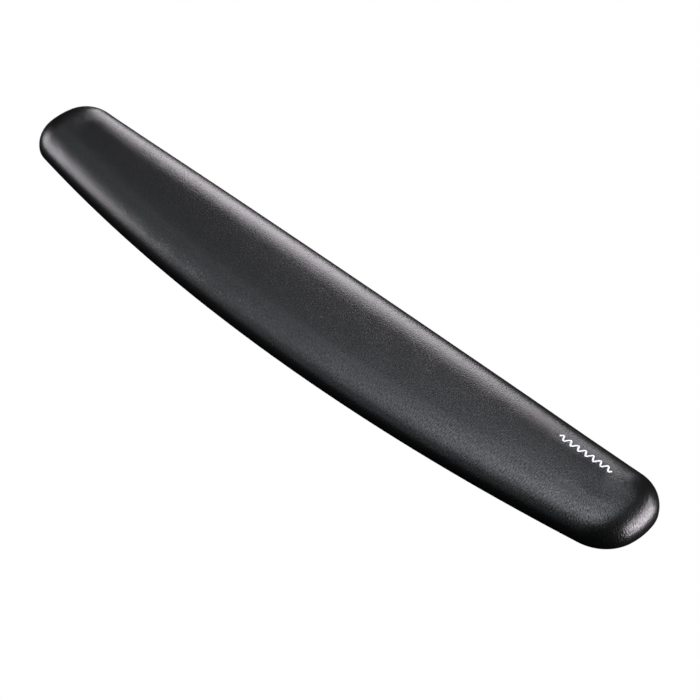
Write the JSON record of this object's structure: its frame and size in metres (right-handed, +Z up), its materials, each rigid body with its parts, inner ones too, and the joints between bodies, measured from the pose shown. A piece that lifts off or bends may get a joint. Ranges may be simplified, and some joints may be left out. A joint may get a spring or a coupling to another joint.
{
  "type": "wrist rest",
  "caption": "Long padded gel wrist rest in grained leatherette, with a bowed front edge, a nearly straight back edge, round ends and a non-slip base.",
  "frame": {"origin": "on the desk, under the middle of the rest: the centre of the bounding box's lowest face", "axes": "+X along the rest to the end that carries the printed mark, +Y towards the keyboard, +Z up from the desk"},
  "size_m": [0.48, 0.074, 0.0201],
  "materials": {
    "leatherette": "satin",
    "print_ink": "satin",
    "film": "gloss",
    "gel": "gloss",
    "foam": "matte",
    "board": "matte",
    "adhesive": "satin",
    "nonslip": "matte"
  },
  "bodies": {
    "root": {"leatherette_cover": "leatherette", "printed_mark": "print_ink", "gel_film_upper": "film", "gel_film_lower": "film", "gel_pad": "gel", "foam_bed": "foam", "base_board": "board", "base_adhesive": "adhesive", "nonslip_base": "nonslip"}
  },
  "joints": []
}
